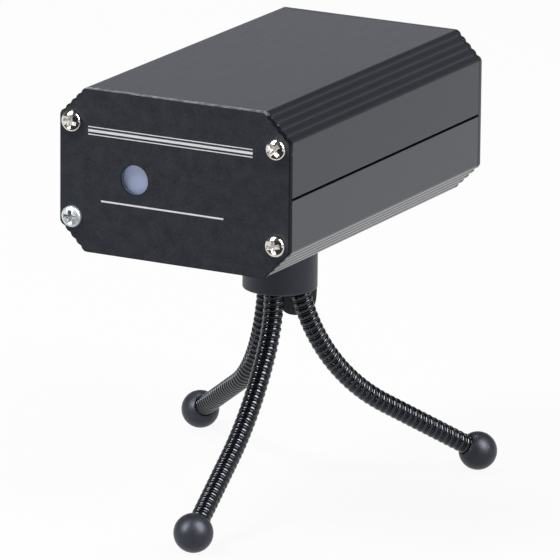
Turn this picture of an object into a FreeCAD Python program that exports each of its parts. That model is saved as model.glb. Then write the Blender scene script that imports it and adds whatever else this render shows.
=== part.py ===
import FreeCAD
import Part
import math
import os

# Laser show projector on a gooseneck tripod.
# Millimetres, +Z up, the front plate faces -Y.
# The origin lies on the floor under the axis of the tripod head.

# Stance
rim_height = 73.0
head_height = 25.0
turn_gap = 0.2
case_setback = 5.2

# Case
case_width = 88.0
case_height = 57.0
case_length = 140.0
plate_thickness = 2.0
wall = 2.2
corner_size = 10.2
bead_count = 5
bead_rise = 0.5
seam_gap = 0.8
seam_drop = 0.65
lip_height = 2.5
lip_thickness = 1.2
lip_clearance = 0.1
overrun = 1.0

# Screws that hold the end plates
plate_screw_edge = 5.1
plate_screw_drop = 12.1
plate_screw_radius = 1.95
plate_screw_length = 10.0
plate_screw_head_radius = 3.85
plate_screw_head_height = 2.3
channel_wall = 1.8
screw_clearance = 0.05
hole_clearance = 0.2

# Shares of a pan head: edge height, dome shoulder, cross slot
head_edge_share = 0.35
dome_radius_share = 0.66
dome_height_share = 0.86
cross_length_share = 1.2
cross_width_share = 0.26
cross_depth_share = 0.55

# Beam path, from the middle of the case
beam_x = -15.1
beam_drop = 1.1
aperture_radius = 5.1
window_radius = 8.5
window_thickness = 1.5

# Grating wheel, its bracket and its motor
wheel_gap = 1.0
wheel_width = 6.0
wheel_hub_radius = 10.0
grating_radius = 8.5
grating_thickness = 1.2
grating_inset = 1.0
tube_radius = 7.5
tube_bore = 5.5
run_clearance = 0.05
run_gap = 0.3
gear_module = 0.7
wheel_teeth = 36
pinion_teeth = 10
tooth_width = 3.0
addendum_share = 0.8
dedendum_share = 1.25
tooth_fill_share = 0.4
flank_slope_share = 0.3
bracket_thickness = 2.5
bracket_margin = 3.0
bracket_foot_depth = 9.0
bracket_foot_thickness = 2.0
shaft_radius = 1.0
shaft_reach = 3.0
motor_width = 12.0
motor_height = 10.0
gearbox_length = 9.0
motor_length = 15.0
motor_boss_radius = 2.0
motor_boss_length = 1.5

# Plate that carries the optics
base_thickness = 3.0
base_side_gap = 1.9
base_front_inset = 2.5
laser_overhang = 2.0
block_wall = 3.0
green_block_inset = 4.0
green_block_depth = 16.0
red_block_left = 4.0
red_block_width = 12.0
laser_radius = 6.0
laser_fit = 0.05
laser_spacing = 12.0
green_laser_length = 38.0
red_laser_left = -2.0
red_laser_length = 28.0
red_block_gap = 3.7
lens_radius = 2.6
lens_thickness = 1.2
lens_inset = 0.8
collar_radius = 4.6
collar_length = 5.0
combiner_width = 12.0
combiner_height = 10.0
combiner_thickness = 1.0
post_width = 8.0
post_depth = 6.0
post_overlap = 2.0
glass_fit = 0.05

# Small screws inside
small_screw_radius = 1.45
small_screw_head_radius = 2.7
small_screw_head_height = 1.7
base_screw_inset = 3.2
base_screw_skin = 0.4

# Circuit board in the slots of the upper shell
board_height = 7.0
board_thickness = 1.6
board_side_gap = 0.3
board_slot_gap = 0.1
board_front_inset = 44.0
board_rear_inset = 26.0
rail_grip = 2.0
rail_thickness = 1.2
capacitor_radius = 3.2
capacitor_height = 11.0
chip_length = 12.0
chip_width = 7.0
chip_height = 2.2
coil_radius = 5.0
coil_height = 6.0
coil_bore = 2.2
header_length = 14.0
header_width = 5.0
header_height = 7.0

# Cooling fan
fan_size = 30.0
fan_depth = 8.0
fan_edge = 27.0
fan_screw_pitch = 24.0
fan_screw_radius = 1.4
fan_screw_length = 9.0
fan_bore = 14.0
fan_hub_radius = 7.5
fan_hub_depth = 5.6
fan_shaft_radius = 1.0
fan_blade_radius = 13.3
fan_blade_count = 7
fan_blade_chord = 7.0
fan_blade_thickness = 0.9
fan_blade_camber = 1.0
fan_blade_pitch = 38.0
fan_strut_width = 2.2
fan_strut_depth = 1.6
vent_slot_height = 2.0
vent_slot_step = 4.2
vent_slot_count = 5
vent_radius = 12.5

# Controls on the rear plate: the inlet and the switch from its side edge, the rest from its middle
jack_edge = 14.0
jack_z = -9.0
jack_flange_radius = 5.6
jack_flange_thickness = 1.4
jack_barrel_radius = 4.0
jack_length = 13.0
jack_bore = 2.8
jack_bore_depth = 9.0
jack_pin_radius = 1.05
jack_pin_length = 8.0
switch_edge = 16.5
switch_z = 8.0
switch_width = 8.0
switch_height = 13.0
switch_depth = 9.0
switch_bush_radius = 3.0
switch_bush_length = 6.5
switch_bush_bore = 2.1
switch_nut_flats = 8.0
switch_nut_thickness = 1.8
lever_ball_radius = 1.8
lever_root_radius = 1.0
lever_tip_radius = 1.45
lever_length = 11.0
lever_depth = 3.0
pot_x = -11.0
pot_z = -9.0
pot_width = 10.0
pot_height = 12.0
pot_depth = 6.5
pot_bush_radius = 3.4
pot_bush_length = 4.6
pot_shaft_radius = 2.0
pot_shaft_sink = 6.0
pot_nut_flats = 10.0
pot_nut_thickness = 2.0
knob_radius = 6.0
knob_top_radius = 5.3
knob_height = 11.0
knob_gap = 0.5
knob_skirt_bore = 5.0
knob_skirt_depth = 3.4
knob_flute_count = 18
knob_flute_radius = 0.5
knob_pointer_width = 0.8
knob_pointer_depth = 0.5
mic_x = -11.0
mic_z = 9.0
mic_radius = 4.85
mic_depth = 6.5
mic_hole_radius = 1.2

# Tripod nut, stud and head
nut_flange_radius = 8.0
nut_flange_thickness = 1.6
nut_barrel_radius = 5.0
nut_height = 8.5
nut_fit = 0.05
stud_radius = 3.175
stud_reach = 7.0
stud_sink = 14.0
stud_point = 0.6
head_diameter = 26.0
head_edge_radius = 0.6
tab_azimuth = 97.0
tab_right_angle = 59.0
tab_left_angle = 36.0
tab_thickness = 1.7
tab_depth = 13.0
tab_join = 3.0
tab_section_count = 13

# Gooseneck legs
neck_inset = 5.5
neck_core_radius = 2.95
neck_crest_radius = 3.5
neck_bore_radius = 1.6
neck_pitch = 2.4
neck_socket_depth = 9.0
neck_socket_gap = 0.1
neck_start = 0.3
rib_rise_share = 0.15
rib_crest_share = 0.65
rib_fall_share = 0.8
ball_radius = 6.85
ball_flat = 0.25
ball_socket_depth = 5.0

# Each leg as it is bent: azimuths of its socket and its heading, a short lean, then a long sweep
front_socket_azimuth = -77.0
front_heading_azimuth = -83.4
front_lean_radius = 34.0
front_lean_angle = 36.0
front_sweep_radius = 100.0
front_sweep_angle = 25.2
right_socket_azimuth = 12.0
right_heading_azimuth = 53.1
right_lean_radius = 10.0
right_lean_angle = 15.5
right_sweep_radius = 71.0
right_sweep_angle = 43.9
left_socket_azimuth = 154.4
left_heading_azimuth = 137.2
left_lean_radius = 10.0
left_lean_angle = 8.8
left_sweep_radius = 58.6
left_sweep_angle = 54.1
legs = {
    "front": {
        "socket": front_socket_azimuth,
        "heading": front_heading_azimuth,
        "bends": [(front_lean_radius, front_lean_angle), (front_sweep_radius, front_sweep_angle)],
    },
    "right": {
        "socket": right_socket_azimuth,
        "heading": right_heading_azimuth,
        "bends": [(right_lean_radius, right_lean_angle), (right_sweep_radius, right_sweep_angle)],
    },
    "left": {
        "socket": left_socket_azimuth,
        "heading": left_heading_azimuth,
        "bends": [(left_lean_radius, left_lean_angle), (left_sweep_radius, left_sweep_angle)],
    },
}

# Places worked out from the sizes
Vector = FreeCAD.Vector
half_width = case_width / 2
half_height = case_height / 2
case_bottom = rim_height + head_height + turn_gap
middle_z = case_bottom + half_height
middle_y = -case_setback
front_face = middle_y - case_length / 2
rear_face = middle_y + case_length / 2
shell_front = front_face + plate_thickness
shell_rear = rear_face - plate_thickness
floor_z = case_bottom + wall
base_top = floor_z + base_thickness
beam_z = middle_z - beam_drop
channel_radius = plate_screw_radius + screw_clearance + channel_wall
inner_corner = corner_size - wall * (2 - math.sqrt(2))
plate_screw_pitch_x = case_width - 2 * plate_screw_edge
plate_screw_pitch_z = case_height - 2 * plate_screw_drop
wheel_pitch_radius = gear_module * wheel_teeth / 2
pinion_pitch_radius = gear_module * pinion_teeth / 2
pinion_x = beam_x + wheel_pitch_radius + pinion_pitch_radius
wheel_front = shell_front + window_thickness + wheel_gap
wheel_back = wheel_front + wheel_width
bracket_front = wheel_back + run_gap
bracket_back = bracket_front + bracket_thickness
grating_front = wheel_front + grating_inset
grating_back = grating_front + grating_thickness
gearbox_end = bracket_back + gearbox_length
motor_end = gearbox_end + motor_length
laser_reach = laser_radius + block_wall
red_beam_y = motor_end + red_block_gap + laser_reach
green_laser_front = red_beam_y + laser_spacing
green_block_front = green_laser_front + green_block_inset
base_back = green_laser_front + green_laser_length - laser_overhang
base_half_width = half_width - wall - inner_corner - base_side_gap
board_front = shell_front + board_front_inset
board_back = shell_rear - board_rear_inset
board_half_width = plate_screw_pitch_x / 2 - channel_radius - board_side_gap
fan_x = half_width - fan_edge
fan_front = shell_rear - fan_depth
jack_x = jack_edge - half_width
switch_x = switch_edge - half_width
neck_circle_radius = head_diameter / 2 - neck_inset
ball_centre_height = ball_radius - ball_flat


def block(low, high):
    """Box between two opposite corners."""
    size = high - low
    return Part.makeBox(size.x, size.y, size.z, low)


def rod(radius, start, end):
    """Cylinder from one point to another."""
    axis = end - start
    return Part.makeCylinder(radius, axis.Length, start, axis)


def polygon_prism(points, depth):
    """Closed polygon, swept along a vector."""
    return Part.Face(Part.makePolygon(points + points[:1])).extrude(depth)


def along_y(x, z, radius, start, end):
    """Cylinder along Y at a place in the X-Z plane."""
    return rod(radius, Vector(x, start, z), Vector(x, end, z))


def turned(profile, start, direction):
    """Solid of revolution: a closed profile in X-Z, turned about Z and stood on a point along a direction."""
    solid = Part.Face(Part.Wire(profile)).revolve(Vector(0, 0, 0), Vector(0, 0, 1))
    solid.Placement = FreeCAD.Placement(start, FreeCAD.Rotation(Vector(0, 0, 1), direction))
    return solid


def lines(points):
    """Straight edges through a chain of points."""
    return [Part.LineSegment(a, b).toShape() for a, b in zip(points, points[1:])]


def pan_screw(seat, outward, radius, length, head_radius, head_height):
    """Pan-head screw with a cross recess; the head sits on seat and faces outward."""
    edge = Vector(head_radius, 0, head_height * head_edge_share)
    shoulder = Vector(head_radius * dome_radius_share, 0, head_height * dome_height_share)
    top = Vector(0, 0, head_height)
    shank = [Vector(0, 0, -length), Vector(radius, 0, -length), Vector(radius, 0, 0)]
    chain = [top] + shank + [Vector(head_radius, 0, 0), edge]
    screw = turned(lines(chain) + [Part.Arc(edge, shoulder, top).toShape()], Vector(0, 0, 0), Vector(0, 0, 1))
    reach = head_radius * cross_length_share / 2
    half = head_radius * cross_width_share / 2
    sole = head_height * (1 - cross_depth_share)
    lid = head_height + overrun
    screw = screw.cut(block(Vector(-reach, -half, sole), Vector(reach, half, lid)))
    screw = screw.cut(block(Vector(-half, -reach, sole), Vector(half, reach, lid)))
    screw.Placement = FreeCAD.Placement(seat, FreeCAD.Rotation(Vector(0, 0, 1), outward))
    return screw


def hexagon(x, z, flats, start, end):
    """Hexagonal prism along Y."""
    radius = flats / math.sqrt(3)
    corners = [math.radians(60 * k) for k in range(6)]
    points = [Vector(x + radius * math.cos(a), start, z + radius * math.sin(a)) for a in corners]
    return polygon_prism(points, Vector(0, end - start, 0))


def beaded_corner(start, end, y):
    """Row of rounded beads along a cut-off corner, from start to end in the X-Z plane."""
    edges = []
    outward = Vector(start.x + end.x, 0, start.z + end.z)
    outward = Vector(math.copysign(1, outward.x), 0, math.copysign(1, outward.z)).normalize()
    for k in range(bead_count):
        a = start + (end - start) * (k / bead_count)
        b = start + (end - start) * ((k + 1) / bead_count)
        crown = (a + b) * 0.5 + outward * bead_rise
        edges.append(Part.Arc(*[place(p, y) for p in (a, crown, b)]).toShape())
    return edges


def place(point, y):
    """Point of the case section, moved to the case's own height and to a given Y."""
    return Vector(point.x, y, point.z + middle_z)


def upper_outline(side, y, seam):
    """Half of the case outline, from the right seam to the left; side is 1 for the top, -1 for the bottom."""
    corner_x = half_width - corner_size
    corner_z = half_height - corner_size
    right_seam = Vector(half_width, 0, side * seam)
    right_low = Vector(half_width, 0, side * corner_z)
    right_high = Vector(corner_x, 0, side * half_height)
    left_high = Vector(-corner_x, 0, side * half_height)
    left_low = Vector(-half_width, 0, side * corner_z)
    left_seam = Vector(-half_width, 0, side * seam)
    edges = lines([place(right_seam, y), place(right_low, y)])
    edges += beaded_corner(right_low, right_high, y)
    edges += lines([place(right_high, y), place(left_high, y)])
    edges += beaded_corner(left_high, left_low, y)
    edges += lines([place(left_low, y), place(left_seam, y)])
    return edges


def plate_screw_places():
    """Centres of the four plate screws in X and Z."""
    x = plate_screw_pitch_x / 2
    z = plate_screw_pitch_z / 2
    return [(sx * x, middle_z + sz * z) for sx in (-1, 1) for sz in (-1, 1)]


def shell(side, rails):
    """One half of the case: an extrusion with beaded corners, its rails and two screw channels."""
    seam = seam_gap / 2 - side * seam_drop
    inner_x = half_width - wall
    inner_z = half_height - wall
    inner = [
        Vector(-half_width, 0, seam),
        Vector(-inner_x, 0, seam),
        Vector(-inner_x, 0, inner_z - inner_corner),
        Vector(inner_corner - inner_x, 0, inner_z),
        Vector(inner_x - inner_corner, 0, inner_z),
        Vector(inner_x, 0, inner_z - inner_corner),
        Vector(inner_x, 0, seam),
        Vector(half_width, 0, seam),
    ]
    inner = [place(Vector(p.x, 0, side * p.z), shell_front) for p in inner]
    section = Part.Wire(upper_outline(side, shell_front, seam) + lines(inner))
    depth = Vector(0, shell_rear - shell_front, 0)
    solid = Part.Face(section).extrude(depth)
    for rail in rails:
        solid = solid.fuse(rail)
    for x, z in plate_screw_places():
        if (z - middle_z) * side > 0:
            solid = solid.fuse(along_y(x, z, channel_radius, shell_front, shell_rear))
    for x, z in plate_screw_places():
        radius = plate_screw_radius + screw_clearance
        solid = solid.cut(along_y(x, z, radius, shell_front - overrun, shell_rear + overrun))
    return solid


def upper_shell():
    """Top half, with two pairs of rails that hold the circuit board between them."""
    inner_x = half_width - wall
    reach = inner_x - board_half_width + rail_grip
    slot = board_thickness + board_slot_gap
    rails = []
    for level in (board_height - rail_thickness, board_height + slot):
        for side in (-1, 1):
            near = min(side * inner_x, side * (inner_x - reach))
            low = Vector(near, shell_front, middle_z + level)
            rails.append(block(low, low + Vector(reach, shell_rear - shell_front, rail_thickness)))
    return shell(1, rails).removeSplitter()


def lower_shell():
    """Bottom half, with the lips that stand up inside the top half, the nut hole and the base screw holes."""
    solid = shell(-1, [])
    seam = seam_gap / 2 + seam_drop
    for side in (-1, 1):
        outer = half_width - wall
        face = outer - lip_clearance
        inner = face - lip_thickness
        section = [
            Vector(side * inner, 0, lip_height),
            Vector(side * face, 0, lip_height),
            Vector(side * face, 0, -seam),
            Vector(side * outer, 0, -seam),
            Vector(side * outer, 0, -lip_height),
            Vector(side * inner, 0, -lip_height),
        ]
        points = [place(p, shell_front) for p in section]
        solid = solid.fuse(polygon_prism(points, Vector(0, shell_rear - shell_front, 0)))
    nut_hole = nut_barrel_radius + nut_fit
    solid = solid.cut(rod(nut_hole, Vector(0, 0, case_bottom - overrun), Vector(0, 0, floor_z + overrun)))
    for x, y in base_screw_places():
        low = Vector(x, y, case_bottom + base_screw_skin)
        solid = solid.cut(rod(small_screw_radius + screw_clearance, low, Vector(x, y, floor_z + overrun)))
    return solid.removeSplitter()


def plate(front):
    """End plate with the case's beaded outline and its four screw holes."""
    outline = Part.Wire(upper_outline(1, front, 0) + upper_outline(-1, front, 0)[::-1])
    solid = Part.Face(outline).extrude(Vector(0, plate_thickness, 0))
    for x, z in plate_screw_places():
        radius = plate_screw_radius + hole_clearance
        solid = solid.cut(along_y(x, z, radius, front - overrun, front + plate_thickness + overrun))
    return solid


def front_plate():
    """Front plate with the beam aperture."""
    aperture = along_y(beam_x, beam_z, aperture_radius, front_face - overrun, shell_front + overrun)
    return plate(front_face).cut(aperture)


def fan_screw_places():
    """Centres of the four fan screws in X and Z."""
    half = fan_screw_pitch / 2
    return [(fan_x + sx * half, middle_z + sz * half) for sx in (-1, 1) for sz in (-1, 1)]


def rear_plate():
    """Rear plate with the vent slots and the holes for the fan screws and the controls."""
    solid = plate(shell_rear)
    start = shell_rear - overrun
    end = rear_face + overrun
    for k in range(vent_slot_count):
        rise = (k - (vent_slot_count - 1) / 2) * vent_slot_step
        reach = math.sqrt(vent_radius ** 2 - rise ** 2) - vent_slot_height / 2
        z = middle_z + rise
        half = vent_slot_height / 2
        slot = block(Vector(fan_x - reach, start, z - half), Vector(fan_x + reach, end, z + half))
        for side in (-1, 1):
            slot = slot.fuse(along_y(fan_x + side * reach, z, half, start, end))
        solid = solid.cut(slot)
    for x, z in fan_screw_places():
        solid = solid.cut(along_y(x, z, fan_screw_radius + hole_clearance, start, end))
    holes = [
        (jack_x, jack_z, jack_barrel_radius + hole_clearance),
        (switch_x, switch_z, switch_bush_radius + hole_clearance),
        (pot_x, pot_z, pot_bush_radius + hole_clearance),
        (mic_x, mic_z, mic_hole_radius),
    ]
    for x, z, radius in holes:
        solid = solid.cut(along_y(x, middle_z + z, radius, start, end))
    return solid


def plate_screws(seat, outward):
    """Four pan-head screws of one end plate."""
    sizes = (plate_screw_radius, plate_screw_length, plate_screw_head_radius, plate_screw_head_height)
    screws = [pan_screw(Vector(x, seat, z), Vector(0, outward, 0), *sizes) for x, z in plate_screw_places()]
    return Part.makeCompound(screws)


def aperture_window():
    """Glass disc on the back of the front plate."""
    return along_y(beam_x, beam_z, window_radius, shell_front, shell_front + window_thickness)


def toothed_prism(x, z, teeth, start, end, first_angle):
    """Spur gear blank with straight-flanked teeth, along Y; one tooth points along first_angle."""
    pitch = gear_module * teeth / 2
    root = pitch - gear_module * dedendum_share
    tip = pitch + gear_module * addendum_share
    half = math.pi * gear_module / 2 * tooth_fill_share
    root_half = half + (pitch - root) * flank_slope_share
    tip_half = half - (tip - pitch) * flank_slope_share
    points = []
    for k in range(teeth):
        centre = first_angle + 2 * math.pi * k / teeth
        flank = ((root, -root_half), (tip, -tip_half), (tip, tip_half), (root, root_half))
        for radius, offset in flank:
            a = centre + math.asin(offset / radius)
            points.append(Vector(x + radius * math.cos(a), start, z + radius * math.sin(a)))
    return polygon_prism(points, Vector(0, end - start, 0))


def grating_wheel():
    """Toothed wheel that turns on the bracket's tube and holds the grating in its front."""
    hub = along_y(beam_x, beam_z, wheel_hub_radius, wheel_front, wheel_back)
    rim = toothed_prism(beam_x, beam_z, wheel_teeth, wheel_back - tooth_width, wheel_back, 0)
    front = wheel_front - overrun
    bearing = along_y(beam_x, beam_z, tube_radius + run_clearance, front, wheel_back + overrun)
    seat = along_y(beam_x, beam_z, grating_radius + glass_fit, front, grating_back)
    return hub.fuse(rim).cut(bearing).cut(seat)


def grating_disc():
    """Round diffraction grating, seated on the wheel's inner step."""
    return along_y(beam_x, beam_z, grating_radius, grating_front, grating_back)


def bracket_screw_places():
    """Centres of the two bracket screws in X and Y."""
    y = bracket_back + bracket_foot_depth / 2
    return [(beam_x - wheel_hub_radius / 2, y), (beam_x + wheel_hub_radius / 2, y)]


def grating_bracket():
    """Upright bracket: a plate with a bearing tube, a hole for the motor shaft and a foot."""
    left = beam_x - wheel_hub_radius
    right = pinion_x + motor_width / 2 + bracket_margin
    top = beam_z + tube_radius + bracket_margin
    solid = block(Vector(left, bracket_front, base_top), Vector(right, bracket_back, top))
    foot_right = beam_x + wheel_hub_radius
    foot = block(
        Vector(left, bracket_back, base_top),
        Vector(foot_right, bracket_back + bracket_foot_depth, base_top + bracket_foot_thickness),
    )
    tube_front = grating_back + run_gap
    solid = solid.fuse(foot).fuse(along_y(beam_x, beam_z, tube_radius, tube_front, bracket_back))
    solid = solid.cut(along_y(beam_x, beam_z, tube_bore, tube_front - overrun, bracket_back + overrun))
    boss_hole = motor_boss_radius + hole_clearance
    solid = solid.cut(along_y(pinion_x, beam_z, boss_hole, bracket_front - overrun, bracket_back + overrun))
    for x, y in bracket_screw_places():
        low = Vector(x, y, base_top - overrun)
        high = Vector(x, y, base_top + bracket_foot_thickness + overrun)
        solid = solid.cut(rod(small_screw_radius + screw_clearance, low, high))
    return solid.removeSplitter()


def bracket_screws():
    """Two screws through the bracket's foot into the base."""
    length = bracket_foot_thickness + base_thickness - base_screw_skin
    sizes = (small_screw_radius, length, small_screw_head_radius, small_screw_head_height)
    seat = base_top + bracket_foot_thickness
    screws = [pan_screw(Vector(x, y, seat), Vector(0, 0, 1), *sizes) for x, y in bracket_screw_places()]
    return Part.makeCompound(screws)


def grating_motor():
    """Geared motor behind the bracket: square gearbox, flat-sided can, bearing boss and shaft hole."""
    half_w = motor_width / 2
    half_h = motor_height / 2
    low = Vector(pinion_x - half_w, bracket_back, beam_z - half_h)
    high = Vector(pinion_x + half_w, gearbox_end, beam_z + half_h)
    can = along_y(pinion_x, beam_z, half_w, gearbox_end, motor_end)
    flats = block(Vector(low.x, gearbox_end, low.z), Vector(high.x, motor_end, high.z))
    boss_front = bracket_back - motor_boss_length
    boss = along_y(pinion_x, beam_z, motor_boss_radius, boss_front, bracket_back)
    solid = block(low, high).fuse(can.common(flats)).fuse(boss)
    hole = shaft_radius + run_clearance
    return solid.cut(along_y(pinion_x, beam_z, hole, boss_front - overrun, bracket_back + shaft_reach))


def motor_pinion():
    """Small gear on the motor shaft, in mesh with the wheel."""
    front = wheel_back - tooth_width
    first_tooth = math.pi + math.pi / pinion_teeth
    gear = toothed_prism(pinion_x, beam_z, pinion_teeth, front, wheel_back, first_tooth)
    shaft = along_y(pinion_x, beam_z, shaft_radius, front, bracket_back + shaft_reach - run_gap)
    return gear.fuse(shaft)


def base_screw_places():
    """Centres of the four base screws in X and Y."""
    x = base_half_width - base_screw_inset
    front = shell_front + base_front_inset + base_screw_inset
    back = base_back - base_screw_inset
    return [(sx * x, y) for sx in (-1, 1) for y in (front, back)]


def optics_base():
    """Base plate with two bored blocks for the laser modules."""
    low = Vector(-base_half_width, shell_front + base_front_inset, floor_z)
    solid = block(low, Vector(base_half_width, base_back, base_top))
    nut_room = nut_flange_radius + run_gap
    solid = solid.cut(rod(nut_room, Vector(0, 0, floor_z - overrun), Vector(0, 0, base_top + overrun)))
    reach = laser_reach
    green_low = Vector(beam_x - reach, green_block_front, base_top)
    green_high = Vector(beam_x + reach, green_block_front + green_block_depth, beam_z + reach)
    red_low = Vector(red_block_left, red_beam_y - reach, base_top)
    red_high = Vector(red_block_left + red_block_width, red_beam_y + reach, beam_z + reach)
    ceiling = middle_z + board_height - rail_thickness
    green_high.z = min(green_high.z, ceiling)
    red_high.z = min(red_high.z, ceiling)
    solid = solid.fuse(block(green_low, green_high)).fuse(block(red_low, red_high))
    bore = laser_radius + laser_fit
    solid = solid.cut(along_y(beam_x, beam_z, bore, green_low.y - overrun, green_high.y + overrun))
    red_start = Vector(red_low.x - overrun, red_beam_y, beam_z)
    solid = solid.cut(rod(bore, red_start, Vector(red_high.x + overrun, red_beam_y, beam_z)))
    hole = small_screw_radius + screw_clearance
    for x, y in base_screw_places():
        solid = solid.cut(rod(hole, Vector(x, y, floor_z - overrun), Vector(x, y, base_top + overrun)))
    for x, y in bracket_screw_places():
        low = Vector(x, y, floor_z + base_screw_skin)
        solid = solid.cut(rod(hole, low, Vector(x, y, base_top + overrun)))
    return solid.removeSplitter()


def base_screws():
    """Four screws through the base into the case floor."""
    length = base_thickness + wall - base_screw_skin
    sizes = (small_screw_radius, length, small_screw_head_radius, small_screw_head_height)
    screws = [pan_screw(Vector(x, y, base_top), Vector(0, 0, 1), *sizes) for x, y in base_screw_places()]
    return Part.makeCompound(screws)


def laser_module(front, direction, length):
    """Laser module: a round body with a narrower lens collar and a recess for its lens."""
    nose = front + direction * collar_length
    solid = rod(laser_radius, nose, front + direction * length).fuse(rod(collar_radius, front, nose))
    recess_end = front + direction * (lens_inset + lens_thickness)
    return solid.cut(rod(lens_radius + glass_fit, front - direction * overrun, recess_end))


def laser_lens(front, direction):
    """Lens in the recess of one module."""
    return rod(lens_radius, front + direction * lens_inset, front + direction * (lens_inset + lens_thickness))


backward = Vector(0, 1, 0)
rightward = Vector(1, 0, 0)
green_front = Vector(beam_x, green_laser_front, beam_z)
red_front = Vector(red_laser_left, red_beam_y, beam_z)


def combiner_turned(low, high):
    """Box given about the combiner's centre, turned to 45 degrees and stood there."""
    solid = block(low, high)
    turn = FreeCAD.Rotation(Vector(0, 0, 1), 45)
    solid.Placement = FreeCAD.Placement(Vector(beam_x, red_beam_y, beam_z), turn)
    return solid


def beam_combiner():
    """Glass plate at 45 degrees that sends the red beam along the green one."""
    half = Vector(combiner_width, combiner_thickness, combiner_height) * 0.5
    return combiner_turned(half * -1, half)


def combiner_post():
    """Slotted post that holds the lower edge of the glass plate."""
    sole = base_top - beam_z
    glass_low = -combiner_height / 2
    top = glass_low + post_overlap
    half_w = post_width / 2
    half_d = post_depth / 2
    post = combiner_turned(Vector(-half_w, -half_d, sole), Vector(half_w, half_d, top))
    half_slot = combiner_thickness / 2 + glass_fit
    reach = half_w + overrun
    slot = combiner_turned(Vector(-reach, -half_slot, glass_low), Vector(reach, half_slot, top + overrun))
    return post.cut(slot)


def circuit_board():
    """Driver board, lying in the slots of the upper shell."""
    low = Vector(-board_half_width, board_front, middle_z + board_height)
    return block(low, Vector(board_half_width, board_back, middle_z + board_height + board_thickness))


def board_parts():
    """Capacitors, chips, a coil and a plug header on the board."""
    top = middle_z + board_height + board_thickness
    step = (board_back - board_front) / 6
    first = board_front + step
    rise = Vector(0, 0, 1)
    solids = []
    for k in range(3):
        foot = Vector(-half_width / 2, first + step * k, top)
        solids.append(rod(capacitor_radius, foot, foot + rise * capacitor_height))
    for k in range(2):
        low = Vector(-chip_length / 2, first + 2 * step * k, top)
        solids.append(block(low, low + Vector(chip_length, chip_width, chip_height)))
    foot = Vector(half_width / 2, first + step, top)
    coil = rod(coil_radius, foot, foot + rise * coil_height)
    solids.append(coil.cut(rod(coil_bore, foot, foot + rise * (coil_height + overrun))))
    low = Vector(half_width / 2 - header_length / 2, first + 3 * step, top)
    solids.append(block(low, low + Vector(header_length, header_width, header_height)))
    return Part.makeCompound(solids)


def fan_frame():
    """Square fan frame with its round duct, corner holes, three struts and the rotor's bearing."""
    half = fan_size / 2
    low = Vector(fan_x - half, fan_front, middle_z - half)
    solid = block(low, Vector(fan_x + half, shell_rear, middle_z + half))
    solid = solid.cut(along_y(fan_x, middle_z, fan_bore, fan_front - overrun, shell_rear + overrun))
    strut_back = fan_front + fan_strut_depth
    hub = along_y(fan_x, middle_z, fan_hub_radius, fan_front, strut_back)
    for k in range(3):
        strut = block(
            Vector(fan_x, fan_front, middle_z - fan_strut_width / 2),
            Vector(fan_x + fan_bore + overrun, strut_back, middle_z + fan_strut_width / 2),
        )
        strut.rotate(Vector(fan_x, 0, middle_z), Vector(0, 1, 0), 360 * k / 3 + 30)
        hub = hub.fuse(strut)
    solid = solid.fuse(hub)
    bore = fan_shaft_radius + run_clearance
    solid = solid.cut(along_y(fan_x, middle_z, bore, fan_front - overrun, strut_back + overrun))
    for x, z in fan_screw_places():
        hole = fan_screw_radius + screw_clearance
        solid = solid.cut(along_y(x, z, hole, fan_front - overrun, shell_rear + overrun))
    return solid.removeSplitter()


def fan_rotor():
    """Fan rotor: a hub with cambered blades and a shaft."""
    start = fan_front + fan_strut_depth + run_gap
    end = start + fan_hub_depth
    middle = (start + end) / 2
    rotor = along_y(fan_x, middle_z, fan_hub_radius, start, end)
    shaft = along_y(fan_x, middle_z, fan_shaft_radius, fan_front + run_gap, start)
    rotor = rotor.fuse(shaft)
    half = fan_blade_chord / 2
    thick = fan_blade_thickness / 2
    root = fan_hub_radius - overrun
    lower = Part.Arc(
        Vector(root, -half, -thick), Vector(root, 0, fan_blade_camber - thick), Vector(root, half, -thick)
    ).toShape()
    upper = Part.Arc(
        Vector(root, half, thick), Vector(root, 0, fan_blade_camber + thick), Vector(root, -half, thick)
    ).toShape()
    tips = lines([Vector(root, half, -thick), Vector(root, half, thick)])
    heels = lines([Vector(root, -half, thick), Vector(root, -half, -thick)])
    section = Part.Face(Part.Wire([lower] + tips + [upper] + heels))
    blade = section.extrude(Vector(fan_blade_radius - root, 0, 0))
    blade.rotate(Vector(0, 0, 0), Vector(1, 0, 0), fan_blade_pitch + 90)
    blade.translate(Vector(fan_x, middle, middle_z))
    low = Vector(fan_x - fan_size, start, middle_z - fan_size)
    blade = blade.common(block(low, Vector(fan_x + fan_size, end, middle_z + fan_size)))
    for k in range(fan_blade_count):
        copy = blade.copy()
        copy.rotate(Vector(fan_x, 0, middle_z), Vector(0, 1, 0), 360 * k / fan_blade_count)
        rotor = rotor.fuse(copy)
    return rotor.removeSplitter()


def fan_screws():
    """Four screws through the rear plate into the fan frame."""
    sizes = (fan_screw_radius, fan_screw_length, small_screw_head_radius, small_screw_head_height)
    screws = [pan_screw(Vector(x, rear_face, z), Vector(0, 1, 0), *sizes) for x, z in fan_screw_places()]
    return Part.makeCompound(screws)


def dc_jack():
    """Supply inlet: flange, barrel, socket bore and centre pin."""
    z = middle_z + jack_z
    mouth = rear_face + jack_flange_thickness
    solid = along_y(jack_x, z, jack_flange_radius, rear_face, mouth)
    solid = solid.fuse(along_y(jack_x, z, jack_barrel_radius, mouth - jack_length, rear_face))
    bottom = mouth - jack_bore_depth
    solid = solid.cut(along_y(jack_x, z, jack_bore, bottom, mouth + overrun))
    return solid.fuse(along_y(jack_x, z, jack_pin_radius, bottom, bottom + jack_pin_length))


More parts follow.
